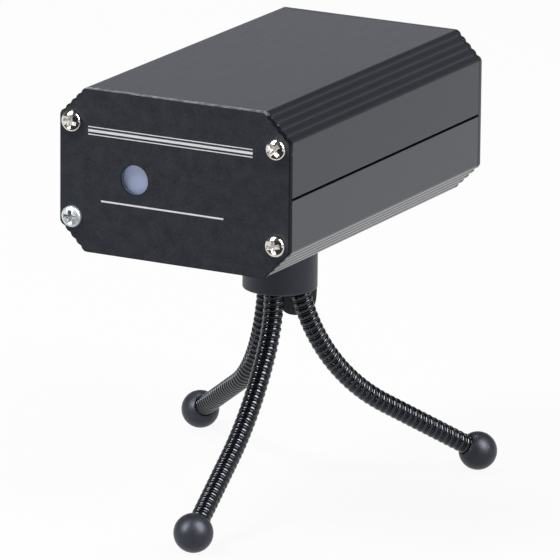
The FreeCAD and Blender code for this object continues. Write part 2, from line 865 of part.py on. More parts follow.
def switch_body():
    """Toggle switch body behind the plate, with its bush through the plate."""
    z = middle_z + switch_z
    half_w = switch_width / 2
    half_h = switch_height / 2
    low = Vector(switch_x - half_w, shell_rear - switch_depth, z - half_h)
    solid = block(low, Vector(switch_x + half_w, shell_rear, z + half_h))
    mouth = rear_face + switch_bush_length - plate_thickness
    solid = solid.fuse(along_y(switch_x, z, switch_bush_radius, shell_rear, mouth))
    pocket = mouth - lever_depth - lever_ball_radius - run_gap
    return solid.cut(along_y(switch_x, z, switch_bush_bore, pocket, mouth + overrun))


def switch_lever():
    """Toggle lever: a pivot ball in the bush, a thin neck and a rounded, thicker end."""
    z = middle_z + switch_z
    pivot = rear_face + switch_bush_length - plate_thickness - lever_depth
    root = Vector(switch_x, pivot, z)
    ball = Part.makeSphere(lever_ball_radius, root)
    neck = Part.makeCone(lever_root_radius, lever_tip_radius, lever_length, root, Vector(0, 1, 0))
    tip = Part.makeSphere(lever_tip_radius, Vector(switch_x, pivot + lever_length, z))
    return ball.fuse(neck).fuse(tip)


def ring_nut(x, z, flats, thickness, bore):
    """Hexagon nut on the rear plate."""
    end = rear_face + thickness
    nut = hexagon(x, middle_z + z, flats, rear_face, end)
    return nut.cut(along_y(x, middle_z + z, bore + screw_clearance, rear_face - overrun, end + overrun))


def pot_body():
    """Speed control behind the plate, with its bush through the plate."""
    z = middle_z + pot_z
    half_w = pot_width / 2
    half_h = pot_height / 2
    low = Vector(pot_x - half_w, shell_rear - pot_depth, z - half_h)
    solid = block(low, Vector(pot_x + half_w, shell_rear, z + half_h))
    mouth = rear_face + pot_bush_length
    solid = solid.fuse(along_y(pot_x, z, pot_bush_radius, shell_rear, mouth))
    bottom = mouth - pot_shaft_sink - run_gap
    return solid.cut(along_y(pot_x, z, pot_shaft_radius + run_clearance, bottom, mouth + overrun))


def speed_knob():
    """Fluted knob with a pointer groove and the control's shaft."""
    z = middle_z + pot_z
    start = rear_face + pot_nut_thickness + knob_gap
    end = start + knob_height
    bush_end = rear_face + pot_bush_length
    solid = Part.makeCone(knob_radius, knob_top_radius, knob_height, Vector(pot_x, start, z), Vector(0, 1, 0))
    for k in range(knob_flute_count):
        a = 2 * math.pi * (k + 0.5) / knob_flute_count
        foot = Vector(pot_x + knob_radius * math.cos(a), start - overrun, z + knob_radius * math.sin(a))
        head = Vector(pot_x + knob_top_radius * math.cos(a), end + overrun, z + knob_top_radius * math.sin(a))
        solid = solid.cut(rod(knob_flute_radius, foot, head))
    solid = solid.cut(along_y(pot_x, z, knob_skirt_bore, start - overrun, start + knob_skirt_depth))
    half = knob_pointer_width / 2
    groove_low = Vector(pot_x - half, end - knob_pointer_depth, z)
    solid = solid.cut(block(groove_low, Vector(pot_x + half, end + overrun, z + knob_radius)))
    shaft = along_y(pot_x, z, pot_shaft_radius, bush_end - pot_shaft_sink, start + knob_skirt_depth)
    return solid.fuse(shaft)


def microphone():
    """Microphone capsule on the inside of the rear plate."""
    return along_y(mic_x, middle_z + mic_z, mic_radius, shell_rear - mic_depth, shell_rear)


def tripod_nut():
    """Flanged insert in the case floor for the tripod's stud."""
    bottom = Vector(0, 0, case_bottom)
    floor = Vector(0, 0, floor_z)
    solid = rod(nut_barrel_radius, bottom, bottom + Vector(0, 0, nut_height))
    solid = solid.fuse(rod(nut_flange_radius, floor, floor + Vector(0, 0, nut_flange_thickness)))
    reach = Vector(0, 0, nut_height + overrun)
    return solid.cut(rod(stud_radius + nut_fit, bottom - Vector(0, 0, overrun), bottom + reach))


def tripod_stud():
    """Stud held in the head, its end in the case nut."""
    foot = Vector(0, 0, rim_height + head_height - stud_sink)
    shoulder = Vector(0, 0, case_bottom + stud_reach - stud_point)
    shank = rod(stud_radius, foot, shoulder)
    point = Part.makeCone(stud_radius, stud_radius - stud_point, stud_point, shoulder, Vector(0, 0, 1))
    return shank.fuse(point)


def polar(radius, azimuth, z):
    """Point at a radius and an azimuth in degrees about the head's axis."""
    a = math.radians(azimuth)
    return Vector(radius * math.cos(a), radius * math.sin(a), z)


def tab_section(share):
    """Upright section through the head's tab, from its right end at a share of -1 to its left end at 1."""
    radius = head_diameter / 2
    turn = share * math.pi / 2
    half = tab_left_angle if share > 0 else tab_right_angle
    azimuth = tab_azimuth + half * math.sin(turn)
    low = rim_height - tab_depth * math.cos(turn)
    high = rim_height + tab_join
    inner = radius - tab_thickness - overrun
    outer = radius + overrun
    corners = [(inner, low), (outer, low), (outer, high), (inner, high), (inner, low)]
    return Part.makePolygon([polar(r, azimuth, z) for r, z in corners])


def tripod_head():
    """Head cylinder with a rounded tab at the back, leg sockets and the stud's bore."""
    radius = head_diameter / 2
    rim = Vector(0, 0, rim_height)
    top = Vector(0, 0, rim_height + head_height)
    solid = rod(radius, rim, top)
    rim_edges = [e for e in solid.Edges if abs(e.CenterOfMass.z - rim_height) < turn_gap]
    solid = solid.makeFillet(head_edge_radius, rim_edges)
    low = Vector(0, 0, rim_height - tab_depth)
    high = Vector(0, 0, rim_height + tab_join)
    past = Vector(0, 0, overrun)
    band = rod(radius, low, high).cut(rod(radius - tab_thickness, low - past, high + past))
    steps = [2 * k / (tab_section_count - 1) - 1 for k in range(tab_section_count)]
    tongue = Part.makeLoft([tab_section(share) for share in steps], True, False)
    solid = solid.fuse(band.common(tongue))
    stud_low = Vector(0, 0, rim_height + head_height - stud_sink)
    solid = solid.cut(rod(stud_radius + screw_clearance, stud_low, top + Vector(0, 0, overrun)))
    socket = neck_core_radius + neck_socket_gap
    depth = neck_socket_depth + neck_socket_gap
    for leg in legs.values():
        mouth = polar(neck_circle_radius, leg["socket"], rim_height - overrun)
        solid = solid.cut(rod(socket, mouth, mouth + Vector(0, 0, depth + overrun)))
    return solid


def leg_station(leg, distance):
    """Point on a leg's centre line and the tilt of the line there, at a distance below the head."""
    tilt = 0
    out = 0
    drop = min(distance, 0)
    left = max(distance, 0)
    for radius, angle in leg["bends"]:
        step = min(left, radius * math.radians(angle))
        after = tilt + step / radius
        out += radius * (math.cos(tilt) - math.cos(after))
        drop += radius * (math.sin(after) - math.sin(tilt))
        tilt = after
        left -= step
    out += left * math.sin(tilt)
    drop += left * math.cos(tilt)
    point = polar(neck_circle_radius, leg["socket"], rim_height - drop) + polar(out, leg["heading"], 0)
    return point, tilt


def leg_length(leg):
    """Length of a leg from the head to the centre of its ball, with a straight run to the ball's height."""
    bent = sum(radius * math.radians(angle) for radius, angle in leg["bends"])
    point, tilt = leg_station(leg, bent)
    return bent + (point.z - ball_centre_height) / math.cos(tilt)


def leg_circle(leg, distance, radius):
    """Circle round a leg's centre line, its X axis square to the plane of the bend."""
    point, tilt = leg_station(leg, distance)
    side = polar(1, leg["heading"] + 90, 0)
    along = polar(math.sin(tilt), leg["heading"], -math.cos(tilt))
    circle = Part.Wire(Part.makeCircle(radius))
    circle.Placement = FreeCAD.Placement(point, FreeCAD.Rotation(side, along.cross(side), along, "XZY"))
    return circle


def gooseneck(leg):
    """Ribbed leg: plain ends in the head and the ball, ribs between them, and a bore all the way."""
    length = leg_length(leg)
    start = neck_start
    end = length - math.sqrt(ball_radius ** 2 - neck_crest_radius ** 2) - neck_start
    tail = length - ball_radius + ball_socket_depth
    count = round((end - start) / neck_pitch)
    pitch = (end - start) / count
    stations = [(-neck_socket_depth, neck_core_radius)]
    for k in range(count):
        foot = start + k * pitch
        stations.append((foot, neck_core_radius))
        stations.append((foot + pitch * rib_rise_share, neck_crest_radius))
        stations.append((foot + pitch * rib_crest_share, neck_crest_radius))
        stations.append((foot + pitch * rib_fall_share, neck_core_radius))
    stations.append((tail, neck_core_radius))
    outside = Part.makeLoft([leg_circle(leg, s, r) for s, r in stations], True, True)
    reach = [-neck_socket_depth - overrun] + [start + k * pitch for k in range(count)] + [tail + overrun]
    inside = Part.makeLoft([leg_circle(leg, s, neck_bore_radius) for s in reach], True, True)
    return outside.cut(inside)


def ball_foot(leg):
    """Rubber ball on the end of a leg, with a small flat where it stands."""
    length = leg_length(leg)
    centre, tilt = leg_station(leg, length)
    mouth, tilt = leg_station(leg, length - ball_radius - overrun)
    sole, tilt = leg_station(leg, length - ball_radius + ball_socket_depth + neck_socket_gap)
    solid = Part.makeSphere(ball_radius, centre)
    reach = Vector(ball_radius, ball_radius, 0)
    under = block(centre - reach - Vector(0, 0, ball_radius + overrun), Vector(centre.x, centre.y, 0) + reach)
    return solid.cut(under).cut(rod(neck_core_radius + neck_socket_gap, mouth, sole))


pieces = {
    "upper_shell": upper_shell(),
    "lower_shell": lower_shell(),
    "front_plate": front_plate(),
    "rear_plate": rear_plate(),
    "front_screws": plate_screws(front_face, -1),
    "rear_screws": plate_screws(rear_face, 1),
    "aperture_window": aperture_window(),
    "grating_wheel": grating_wheel(),
    "grating_disc": grating_disc(),
    "grating_bracket": grating_bracket(),
    "bracket_screws": bracket_screws(),
    "grating_motor": grating_motor(),
    "motor_pinion": motor_pinion(),
    "optics_base": optics_base(),
    "base_screws": base_screws(),
    "green_laser": laser_module(green_front, backward, green_laser_length),
    "red_laser": laser_module(red_front, rightward, red_laser_length),
    "laser_lenses": Part.makeCompound([laser_lens(green_front, backward), laser_lens(red_front, rightward)]),
    "beam_combiner": beam_combiner(),
    "combiner_post": combiner_post(),
    "circuit_board": circuit_board(),
    "board_parts": board_parts(),
    "fan_frame": fan_frame(),
    "fan_rotor": fan_rotor(),
    "fan_screws": fan_screws(),
    "dc_jack": dc_jack(),
    "switch_body": switch_body(),
    "switch_nut": ring_nut(switch_x, switch_z, switch_nut_flats, switch_nut_thickness, switch_bush_radius),
    "switch_lever": switch_lever(),
    "pot_body": pot_body(),
    "pot_nut": ring_nut(pot_x, pot_z, pot_nut_flats, pot_nut_thickness, pot_bush_radius),
    "speed_knob": speed_knob(),
    "microphone": microphone(),
    "tripod_nut": tripod_nut(),
    "tripod_stud": tripod_stud(),
    "tripod_head": tripod_head(),
}
for side, leg in legs.items():
    pieces["gooseneck_" + side] = gooseneck(leg)
    pieces["foot_" + side] = ball_foot(leg)

os.makedirs("parts", exist_ok=True)
for name, shape in pieces.items():
    shape.exportStep("parts/" + name + ".step")
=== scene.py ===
import bmesh
import bpy
import math
from mathutils import Matrix, Vector


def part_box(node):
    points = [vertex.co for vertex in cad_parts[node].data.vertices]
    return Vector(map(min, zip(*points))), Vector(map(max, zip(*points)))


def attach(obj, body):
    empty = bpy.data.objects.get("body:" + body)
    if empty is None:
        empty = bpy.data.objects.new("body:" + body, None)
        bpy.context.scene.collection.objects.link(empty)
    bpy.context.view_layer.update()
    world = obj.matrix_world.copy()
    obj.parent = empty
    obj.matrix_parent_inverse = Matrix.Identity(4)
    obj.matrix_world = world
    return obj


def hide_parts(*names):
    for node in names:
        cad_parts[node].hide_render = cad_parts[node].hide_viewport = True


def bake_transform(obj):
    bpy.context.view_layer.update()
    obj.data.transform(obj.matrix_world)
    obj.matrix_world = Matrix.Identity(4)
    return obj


# Looks of the laser show projector: finishes, softened edges, wound legs, ball feet and screws.
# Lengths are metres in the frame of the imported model, angles are degrees.

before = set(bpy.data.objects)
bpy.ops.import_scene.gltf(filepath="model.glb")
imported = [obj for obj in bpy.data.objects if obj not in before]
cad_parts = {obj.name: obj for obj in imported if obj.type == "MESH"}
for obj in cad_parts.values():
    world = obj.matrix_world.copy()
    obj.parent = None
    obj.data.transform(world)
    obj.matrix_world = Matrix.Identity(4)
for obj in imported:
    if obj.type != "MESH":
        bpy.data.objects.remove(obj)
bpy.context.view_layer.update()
MM = 0.001

# Camera
image_width = 560
focal_pixels = 7040.3
sensor_width = 36.0
clip_near = 0.1
clip_far = 100.0
camera_azimuth = 28.44
camera_elevation = 15.27
camera_roll = 0.51
camera_target = Vector((0, -5.2, 60.0)) * MM
camera_offset = Vector((-2.62, -15.99, -2429.3)) * MM

# Edges: widths of the rounding, and the angles that count as flat, sharp or creased
plate_edge = 0.25 * MM
shell_edge = 0.18 * MM
metal_edge = 0.15 * MM
plastic_edge = 0.25 * MM
edge_segments = 2
flat_face_weight = 80
weld_distance = 0.001 * MM
flat_angle = 0.5
sharp_angle = 40.0
crease_angle = 32.0

# Grain of every finish: shares of fine and broad noise, and the noise that colour and roughness follow
fine_share = 0.6
broad_share = 0.4
colour_span = (0.35, 0.65)
rough_span = (0.3, 0.7)
broad_patch = 12 * MM

# Bare specks at the front ends of the extrusions, which fade out just behind the front plate
speck_size = 1.1 * MM
speck_span = (0.66, 0.72)
speck_full = 0.4 * MM
speck_end = 0.6 * MM
speck_colour = (0.4, 0.4, 0.4, 1)

# Painted highlight along the front plate's top edge, broken into patches: it fades in between two depths
# below the top
top_highlight_patch_size = 1.8 * MM
top_highlight_span = (0.36, 0.62)
top_highlight_least = 0.3
top_highlight_start = 1.2 * MM
top_highlight_full = 0.9 * MM
top_highlight_colour = (0.3, 0.31, 0.33, 1)

# Pinstripes on the front plate: left end, right end, height above the plate's middle and thickness
pinstripes = (
    (-33.0 * MM, 30.0 * MM, 15.3 * MM, 0.35 * MM),
    (-33.0 * MM, 30.0 * MM, 14.0 * MM, 0.9 * MM),
    (-33.0 * MM, 30.0 * MM, 12.7 * MM, 0.35 * MM),
    (-28.0 * MM, 19.0 * MM, -10.0 * MM, 0.6 * MM),
)
pinstripe_colour = (0.93, 0.94, 0.96, 1)

# End plates: how little a side may face front or back, and how near the beam its aperture's wall is
side_facing = 0.3
aperture_reach = 6 * MM

# Cross-recess screws: heads and shanks
screw_head_radius = 3.7 * MM
screw_head_height = 2.3 * MM
screw_shank_radius = 1.95 * MM
screw_shank_length = 10 * MM
small_head_radius = 2.7 * MM
small_head_height = 1.7 * MM
small_shank_radius = 1.4 * MM
small_shank_length = 9 * MM
head_foot_share = 0.97
head_edge_share = 0.3
dome_power = 0.8
dome_steps = 10
screw_segments = 56

# Recesses of the screws, as shares of the head's radius or height, and how far each is turned
recess_reach = 1.56
recess_width = 0.46
recess_top = 1.05
recess_floor = 0.5
recess_floor_reach = 0.6
recess_floor_width = 0.4
recess_edge = 0.03
recess_edge_angle = 35.0
recess_limit = 0.85
recess_sink = 0.05
front_recess_turns = (0.0, -12.0, 10.0, 46.0)
rear_recess_turns = (20.0, 62.0, -8.0, 33.0)
fan_recess_turns = (5.0, 40.0, 75.0, 18.0)

# Rear controls
jack_pin_radius = 1.1 * MM
knob_pointer_depth = 0.8 * MM
knob_pointer_half = 0.5 * MM
knob_pointer_slack = 0.4

# Gooseneck legs: the same path as the solids, with a finer winding
neck_circle_radius = 7.5 * MM
neck_crest_radius = 3.5 * MM
neck_ring_radius = 3.3 * MM
neck_groove_radius = 2.95 * MM
neck_pitch = 2.4 * MM
neck_socket_depth = 8.0 * MM
neck_solid_depth = 9.0 * MM
hinge_depth = 10.0 * MM
band_share = 0.66
band_bow = 0.25 * MM
ring_start = 0.72
ring_share = 0.22
ring_bow = 0.1 * MM
crown_power = 2.5
wire_squareness = 16
wire_crease = 70.0
points_around_leg = 36
rings_per_pitch = 22

# Each leg as it is bent: azimuths of its socket and its heading, then its bends by radius and angle
legs = {
    "front": {"socket": -77.0, "heading": -83.4, "bends": ((34.0 * MM, 36.0), (100.0 * MM, 25.2))},
    "right": {"socket": 12.0, "heading": 53.1, "bends": ((10.0 * MM, 15.5), (71.0 * MM, 43.9))},
    "left": {"socket": 154.4, "heading": 137.2, "bends": ((10.0 * MM, 8.8), (58.6 * MM, 54.1))},
}

# Ball feet: the skin stands back by the height of the mould line, and a lip leads into the leg's hole
ball_radius = 6.85 * MM
ball_centre_height = 6.6 * MM
ball_skin_depth = 0.05 * MM
ball_hole_radius = 3.62 * MM
ball_hole_depth = 3.4 * MM
lip_width = 0.25 * MM
lip_depth = 0.3 * MM
lip_flare = 0.06 * MM
lip_drop = 0.08 * MM
mould_line_angle = 1.6
ball_steps = 56
ball_segments = 72
ball_crease = 50.0

# Floor: the highest place that it can take, and the share of its white that is free of shadow
floor_reach = 12.0
floor_limit = 55 * MM
floor_glow = 0.93
floor_colour = (0.92, 0.92, 0.92, 1)
white = (1, 1, 1, 1)

# Dark card in front of the object
card_left = -0.28
card_right = 0.5
card_near = -0.14
card_far = -0.75
card_lift = 0.004
card_top = 0.4
card_colour = (0.03, 0.03, 0.03, 1)
card_roughness = 0.9

# Sky: heights over which the horizon and the wall fade, the wall's place at the back, and strengths
horizon_fade = (0.05, 0.14)
wall_fade = (0.28, 0.56)
wall_back = (0.0, 0.6)
dim_strength = 0.12
wall_strength = 0.46
sky_colour = (0.9, 0.94, 1, 1)

# Lamps: the soft ones for the whole object, and those for gloss alone with the pieces that they reach
lamp_aim = Vector((0, 0, 0.09))
softboxes = {
    "key": {"place_at": (-0.75, -0.85, 1.75), "width": 0.6, "height": 0.6, "power": 20},
    "side": {"place_at": (1.1, -0.3, 1.6), "width": 0.5, "height": 0.5, "power": 9},
    "back": {"place_at": (-0.6, 0.5, 1.8), "width": 0.4, "height": 0.4, "power": 8},
}
sparkles = {
    "left_sparkle": {"place_at": (-0.6, -0.94, 0.76), "width": 0.4, "height": 0.64, "power": 26},
    "right_sparkle": {"place_at": (0.96, -0.16, 0.94), "width": 0.8, "height": 1.2, "power": 52},
}
glossy_pieces = ["ball_" + leg_name for leg_name in legs]
glossy_pieces += ["leg_winding_front", "leg_winding_right", "front_screw_set", "rear_screw_set"]
receivers = {
    "left_sparkle": glossy_pieces,
    "right_sparkle": glossy_pieces + ["leg_winding_left"],
}

rim_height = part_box("gooseneck_front")[1].z - neck_solid_depth


def link(name, data):
    """New object with its data, in the scene."""
    item = bpy.data.objects.new(name, data)
    bpy.context.scene.collection.objects.link(item)
    return item


def smooth(mesh, angle):
    """Smooth shading with creases where faces meet at more than an angle."""
    mesh.shade_smooth()
    mesh.set_sharp_from_angle(angle=math.radians(angle))


def piece(name, mesh, body, slot, *nodes):
    """Piece of the object that rides on a body and stands for some CAD nodes."""
    item = link(name, mesh)
    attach(item, body)
    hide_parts(*nodes)
    return item


def baked(name, mesh, *modifiers):
    """Mesh with modifiers applied: each is its type and its settings."""
    item = link(name, mesh)
    for kind, settings in modifiers:
        modifier = item.modifiers.new(kind, kind)
        for key, value in settings.items():
            setattr(modifier, key, value)
    graph = bpy.context.evaluated_depsgraph_get()
    result = bpy.data.meshes.new_from_object(item.evaluated_get(graph))
    bpy.data.objects.remove(item)
    return result


def node_mesh(node):
    """CAD node's own surface, welded, with its flat faces joined up."""
    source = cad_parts[node].data
    mesh = bpy.data.meshes.new(node)
    faces = [list(p.vertices) for p in source.polygons]
    mesh.from_pydata([v.co for v in source.vertices], [], faces)
    shape = bmesh.new()
    shape.from_mesh(mesh)
    bmesh.ops.remove_doubles(shape, verts=shape.verts, dist=weld_distance)
    limit = math.radians(flat_angle)
    bmesh.ops.dissolve_limit(shape, angle_limit=limit, verts=shape.verts, edges=shape.edges)
    shape.to_mesh(mesh)
    shape.free()
    return mesh


def softened(node, width, materials, clamped=False):
    """CAD node's surface with rounded edges; the rounded strips take the last material."""
    mesh = node_mesh(node)
    for material in materials:
        mesh.materials.append(material)
    mesh.shade_smooth()
    rounding = {
        "width": width,
        "segments": edge_segments,
        "limit_method": "ANGLE",
        "angle_limit": math.radians(sharp_angle),
        "miter_outer": "MITER_ARC",
        "use_clamp_overlap": clamped,
        "material": len(materials) - 1,
    }
    flattening = {"weight": flat_face_weight, "keep_sharp": False}
    return baked(node, mesh, ("BEVEL", rounding), ("WEIGHTED_NORMAL", flattening))


def soft_piece(name, node, body, slot, width, materials, clamped=False):
    """Piece that is a CAD node's own surface with rounded edges."""
    piece(name, softened(node, width, materials, clamped), body, slot, node)


def lathe(profile, segments):
    """Closed surface: a profile of (radius, height) points turned about Z."""
    shape = bmesh.new()
    turns = [2 * math.pi * k / segments for k in range(segments)]
    rings = []
    for radius, height in profile:
        if radius == 0:
            rings.append([shape.verts.new((0, 0, height))])
            continue
        circle = [(radius * math.cos(a), radius * math.sin(a), height) for a in turns]
        rings.append([shape.verts.new(point) for point in circle])
    for low, high in zip(rings, rings[1:]):
        for k in range(segments):
            lower = [low[k % len(low)], low[(k + 1) % len(low)]]
            upper = [high[(k + 1) % len(high)], high[k % len(high)]]
            shape.faces.new(list(dict.fromkeys(lower + upper)))
    bmesh.ops.recalc_face_normals(shape, faces=shape.faces)
    mesh = bpy.data.meshes.new("lathe")
    shape.to_mesh(mesh)
    shape.free()
    return mesh


# Materials

def add(tree, kind, inputs=(), **settings):
    """Shader node with its settings; inputs are values or sockets by name or number."""
    node = tree.nodes.new("ShaderNode" + kind)
    for key, value in settings.items():
        setattr(node, key, value)
    for key, value in dict(inputs).items():
        if isinstance(value, bpy.types.NodeSocket):
            tree.links.new(value, node.inputs[key])
        else:
            node.inputs[key].default_value = value
    return node


def place(tree, stretch=(1, 1, 1)):
    """Place on the piece, in metres, stretched along an axis for drawn grain."""
    coords = add(tree, "TexCoord").outputs["Object"]
    return add(tree, "Mapping", {"Vector": coords, "Scale": stretch}).outputs["Vector"]


def noise(tree, vector, size, detail=3.0):
    """Noise with features of a given size in metres."""
    inputs = {"Vector": vector, "Scale": 1 / size, "Detail": detail}
    return add(tree, "TexNoise", inputs).outputs["Fac"]


def spread(tree, value, low, high, to_low=0.0, to_high=1.0):
    """Value moved from one range to another, with both ends held."""
    source = {"Value": value, "From Min": low, "From Max": high}
    target = {"To Min": to_low, "To Max": to_high}
    return add(tree, "MapRange", {**source, **target}).outputs["Result"]


def maths(tree, operation, a, b):
    """Result of an operation on two values or sockets."""
    return add(tree, "Math", {0: a, 1: b}, operation=operation).outputs[0]


def blend_colours(tree, share, a, b):
    """Colour between a and b."""
    return add(tree, "Mix", {0: share, 6: a, 7: b}, data_type="RGBA").outputs[2]


def grey(level, warmth=0.0):
    """Grey with a little warmth, or coolness where it is negative."""
    return (level * (1 + warmth), level, level * (1 - warmth), 1)


def surface(name, dark, light, grain, rough, depth, stretch=(1, 1, 1), patch=broad_patch, **sockets):
    """Finish with grain: colour, roughness and relief all follow noise at two scales.

    The other values are set on the shader's sockets, with underscores for spaces."""
    material = bpy.data.materials.new(name)
    material.use_nodes = True
    tree = material.node_tree
    shader = tree.nodes["Principled BSDF"]
    for key, value in sockets.items():
        shader.inputs[key.replace("_", " ")].default_value = value
    vector = place(tree, stretch)
    fine = noise(tree, vector, grain)
    broad = noise(tree, vector, patch)
    fine_part = maths(tree, "MULTIPLY", fine, fine_share)
    broad_part = maths(tree, "MULTIPLY", broad, broad_share)
    both = maths(tree, "ADD", fine_part, broad_part)
    colour = blend_colours(tree, spread(tree, both, *colour_span), dark, light)
    tree.links.new(colour, shader.inputs["Base Color"])
    tree.links.new(spread(tree, both, *rough_span, *rough), shader.inputs["Roughness"])
    relief = maths(tree, "ADD", fine, broad)
    bump = add(tree, "Bump", {"Height": relief, "Distance": depth, "Strength": 1.0})
    tree.links.new(bump.outputs["Normal"], shader.inputs["Normal"])
    return material


def recolour(material, share, colour):
    """Lays another colour over a material's own where share is 1."""
    tree = material.node_tree
    base = tree.nodes["Principled BSDF"].inputs["Base Color"]
    tree.links.new(blend_colours(tree, share, base.links[0].from_socket, colour), base)


def coordinates(tree):
    """Sockets for X, Y and Z on the object, in metres."""
    return add(tree, "SeparateXYZ", {0: place(tree)}).outputs


def pinstripe(tree, left, right, height, thickness):
    """1 on a level stripe of the front plate, 0 elsewhere."""
    at = coordinates(tree)
    off = maths(tree, "ABSOLUTE", maths(tree, "SUBTRACT", at["Z"], height), 0)
    inside = maths(tree, "LESS_THAN", off, thickness / 2)
    after = maths(tree, "GREATER_THAN", at["X"], left)
    before = maths(tree, "LESS_THAN", at["X"], right)
    return maths(tree, "MULTIPLY", inside, maths(tree, "MULTIPLY", after, before))


cool = (0.86, 0.9, 1.0, 1)
anodised_look = {
    "dark": (0.0135, 0.0141, 0.0198, 1),
    "light": (0.0215, 0.0223, 0.0302, 1),
    "grain": 0.35 * MM,
    "rough": (0.17, 0.27),
    "depth": 0.0025 * MM,
    "stretch": (1, 0.12, 1),
    "patch": 1.8 * MM,
    "Specular_Tint": cool,
}
bottom_look = dict(anodised_look, rough=(0.09, 0.15))
plate_look = {
    "dark": (0.022, 0.0242, 0.0302, 1),
    "light": (0.044, 0.0485, 0.06, 1),
    "grain": 0.5 * MM,
    "rough": (0.46, 0.6),
    "depth": 0.02 * MM,
    "patch": 5 * MM,
    "Specular_Tint": cool,
}
# The front plate's sides are matt and darker than its face; the darker colour is painted shade for the
# gap at the shell.
gap_shaded_rim_look = dict(plate_look, dark=(0.006, 0.0066, 0.0082, 1), light=(0.011, 0.012, 0.0148, 1))
top_anodised = surface("anodised_top", Specular_IOR_Level=0.48, **anodised_look)
bottom_anodised = surface("anodised_bottom", Specular_IOR_Level=0.68, **bottom_look)
anodised_ends = surface("anodised_ends", Specular_IOR_Level=0.55, **anodised_look)
plate_paint = surface("plate_coat", Specular_IOR_Level=0.35, **plate_look)
rear_paint = surface("rear_plate_coat", Specular_IOR_Level=0.35, **plate_look)
plate_rim = surface("plate_rim", Specular_IOR_Level=0.1, **gap_shaded_rim_look)
rear_rim = surface("rear_plate_rim", Specular_IOR_Level=0.5, **anodised_look)
aperture_wall = surface(
    "aperture_wall",
    dark=(0.1, 0.115, 0.16, 1),
    light=(0.15, 0.17, 0.23, 1),
    grain=0.3 * MM,
    rough=(0.35, 0.5),
    depth=0.004 * MM,
)
nickel = surface(
    "nickel",
    dark=(0.62, 0.58, 0.52, 1),
    light=(0.8, 0.77, 0.71, 1),
    grain=0.3 * MM,
    rough=(0.05, 0.13),
    depth=0.002 * MM,
    Metallic=1.0,
)
stamped = surface(
    "stamped",
    dark=(0.62, 0.6, 0.56, 1),
    light=(0.85, 0.83, 0.79, 1),
    grain=0.4 * MM,
    rough=(0.3, 0.45),
    depth=0.01 * MM,
    Metallic=0.6,
)
zinc = surface(
    "zinc",
    dark=(0.66, 0.71, 0.74, 1),
    light=(0.84, 0.89, 0.92, 1),
    grain=0.4 * MM,
    rough=(0.28, 0.42),
    depth=0.004 * MM,
    Metallic=0.45,
)
head_plastic = surface(
    "head_plastic",
    dark=(0.035, 0.037, 0.0465, 1),
    light=(0.05, 0.0535, 0.065, 1),
    grain=0.25 * MM,
    rough=(0.4, 0.52),
    depth=0.004 * MM,
    Specular_IOR_Level=0.4,
    Specular_Tint=cool,
)
neck_gloss = surface(
    "neck_gloss",
    dark=(0.006, 0.0065, 0.008, 1),
    light=(0.012, 0.013, 0.016, 1),
    grain=0.5 * MM,
    rough=(0.1, 0.16),
    depth=0.003 * MM,
    Specular_IOR_Level=0.5,
    Specular_Tint=cool,
)
foot_rubber = surface(
    "foot_rubber",
    dark=(0.031, 0.0345, 0.045, 1),
    light=(0.042, 0.0465, 0.0595, 1),
    grain=0.3 * MM,
    rough=(0.36, 0.46),
    depth=0.001 * MM,
    Specular_IOR_Level=0.28,
    Specular_Tint=cool,
)
window_coat = surface(
    "window_coat",
    dark=(0.53, 0.61, 0.88, 1),
    light=(0.6, 0.68, 0.95, 1),
    grain=3 * MM,
    rough=(0.08, 0.14),
    depth=0.0002 * MM,
    Coat_Weight=0.6,
    Transmission_Weight=0.08,
)
control_plastic = surface(
    "control_plastic",
    dark=grey(0.012),
    light=grey(0.02),
    grain=0.3 * MM,
    rough=(0.34, 0.46),
    depth=0.004 * MM,
)
chrome = surface(
    "chrome",
    dark=grey(0.68, 0.01),
    light=grey(0.8, 0.01),
    grain=0.3 * MM,
    rough=(0.08, 0.16),
    depth=0.001 * MM,
    Metallic=1.0,
)
white_ink = surface(
    "white_ink",
    dark=grey(0.68),
    light=grey(0.76),
    grain=0.2 * MM,
    rough=(0.5, 0.6),
    depth=0.002 * MM,
)
fan_plastic = surface(
    "fan_plastic",
    dark=grey(0.014),
    light=grey(0.024),
    grain=0.3 * MM,
    rough=(0.36, 0.48),
    depth=0.004 * MM,
)
milled = surface(
    "milled",
    dark=grey(0.5),
    light=grey(0.62),
    grain=0.3 * MM,
    rough=(0.28, 0.4),
    depth=0.003 * MM,
    stretch=(0.05, 1, 1),
    Metallic=1.0,
)
brass = surface(
    "brass",
    dark=(0.52, 0.36, 0.13, 1),
    light=(0.66, 0.47, 0.19, 1),
    grain=0.3 * MM,
    rough=(0.2, 0.32),
    depth=0.002 * MM,
    Metallic=1.0,
)
board_green = surface(
    "board_green",
    dark=(0.01, 0.07, 0.02, 1),
    light=(0.02, 0.12, 0.04, 1),
    grain=1.5 * MM,
    rough=(0.3, 0.4),
    depth=0.01 * MM,
)
# Steel for the steel parts; it also serves as painted shade in the zinc screw's recess.
steel_and_recess_shade = surface(
    "steel_and_recess_shade",
    dark=grey(0.45),
    light=grey(0.56),
    grain=0.3 * MM,
    rough=(0.25, 0.38),
    depth=0.002 * MM,
    Metallic=1.0,
)


